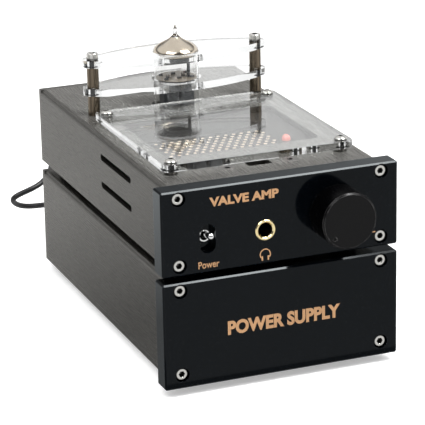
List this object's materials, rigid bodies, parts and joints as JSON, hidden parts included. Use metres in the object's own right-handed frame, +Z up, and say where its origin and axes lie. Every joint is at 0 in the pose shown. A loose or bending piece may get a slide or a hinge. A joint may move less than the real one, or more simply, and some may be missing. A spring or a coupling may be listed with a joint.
{
  "type": "headphone amplifier",
  "caption": "Desktop valve headphone amplifier in a flat case, standing on its matching separate power supply, with a clear top window and clear guard plates round the valve.",
  "frame": {"origin": "on the desk, at the middle of the whole object's footprint box", "axes": "+X to the right seen from the front, +Y to the back, +Z up"},
  "size_m": [0.11, 0.252, 0.1315],
  "materials": {
    "faceplate_black": "gloss black anodised front, slightly blue",
    "case_grey": "fine brushed warm charcoal anodising",
    "screw_steel": "bright polished stainless steel",
    "clear_plate": "clear polished acrylic",
    "post_bronze": "dark bronze with a turned, streaked finish",
    "valve_clear": "clear soda glass",
    "getter_film": "brown-silver getter mirror",
    "electrode_dark": "carbonised dark blue-grey nickel",
    "electrode_bright": "nickel wire",
    "mica": "translucent mica sheet",
    "ceramic_white": "glazed ceramic",
    "knob_black": "satin black anodised, with a bright cut edge",
    "gold_plate": "gold plating",
    "chrome_plate": "bright chrome",
    "black_plastic": "black moulding",
    "lead_black": "gloss black cable jacket",
    "foot_rubber": "matt black rubber",
    "board_green": "solder-masked glass-fibre board",
    "can_sleeve": "shrink sleeve with an aluminium top",
    "winding": "amber taped copper winding",
    "vent_grey": "dark grey perforated plate with copper-toned eyelets",
    "led_red": "tinted lamp body",
    "zinc": "zinc-plated steel"
  },
  "bodies": {
    "case": {"amp_faceplate": "faceplate_black", "psu_faceplate": "faceplate_black", "amp_cover": "case_grey", "psu_cover": "case_grey", "amp_base_plate": "case_grey", "psu_base_plate": "case_grey", "amp_rear_panel": "case_grey", "psu_rear_panel": "case_grey", "faceplate_screws": "screw_steel", "case_screws": "screw_steel", "window_screws": "screw_steel", "guard_screws": "screw_steel", "vent_plate_screws": "screw_steel", "window_washers": "screw_steel", "feet": "foot_rubber", "window_plate": "clear_plate", "guard_plates": "clear_plate", "guard_spacers": "post_bronze", "vent_plate": "vent_grey", "power_led": "led_red", "valve_socket": "ceramic_white", "pot_body": "zinc", "pot_nut": "zinc", "jack_body": "black_plastic", "jack_sleeve": "gold_plate", "toggle_body": "black_plastic", "toggle_bushing": "chrome_plate", "amp_circuit_board": "board_green", "psu_circuit_board": "board_green", "board_standoffs": "zinc", "amp_capacitors": "can_sleeve", "psu_capacitors": "can_sleeve", "amp_heat_sink": "knob_black", "psu_heat_sink": "knob_black", "amp_chips": "black_plastic", "phono_sockets": "gold_plate", "phono_socket_cores": "black_plastic", "dc_sockets": "chrome_plate", "lead_plugs": "black_plastic", "supply_lead": "lead_black", "mains_transformer": "winding", "transformer_clamp": "zinc", "transformer_pad": "foot_rubber", "mains_inlet": "black_plastic", "inlet_blades": "screw_steel", "rocker_frame": "black_plastic"},
    "volume": {"volume_knob": "knob_black", "knob_grub_screw": "screw_steel", "pot_shaft": "zinc"},
    "toggle": {"toggle_lever": "chrome_plate"},
    "valve": {"valve_glass": "valve_clear", "valve_getter_mirror": "getter_film", "valve_getter_ring": "electrode_dark", "valve_micas": "mica", "valve_anodes": "electrode_dark", "valve_cathodes": "electrode_bright", "valve_grid_rods": "electrode_bright", "valve_pins": "electrode_bright"},
    "fuse_tray": {"fuse_drawer": "black_plastic"},
    "rocker": {"mains_rocker": "black_plastic"}
  },
  "joints": [
    {"name": "volume_turn", "type": "hinge", "parent": "case", "child": "volume", "pos_m": [0.0253, -0.1188, 0.07415], "axis": [0, 1, 0], "range_deg": [0, 270]},
    {"name": "toggle_tilt", "type": "hinge", "parent": "case", "child": "toggle", "pos_m": [-0.034, -0.1046, 0.07035], "axis": [1, 0, 0], "range_deg": [0, 26]},
    {"name": "valve_lift", "type": "slide", "parent": "case", "child": "valve", "axis": [0, 0, 1], "range_m": [0, 0.012]},
    {"name": "fuse_drawer_slide", "type": "slide", "parent": "case", "child": "fuse_tray", "axis": [0, 1, 0], "range_m": [0, 0.014]},
    {"name": "mains_rocker_tilt", "type": "hinge", "parent": "case", "child": "rocker", "pos_m": [-0.006, 0.0712, 0.02815], "axis": [1, 0, 0], "range_deg": [0, 16]}
  ]
}
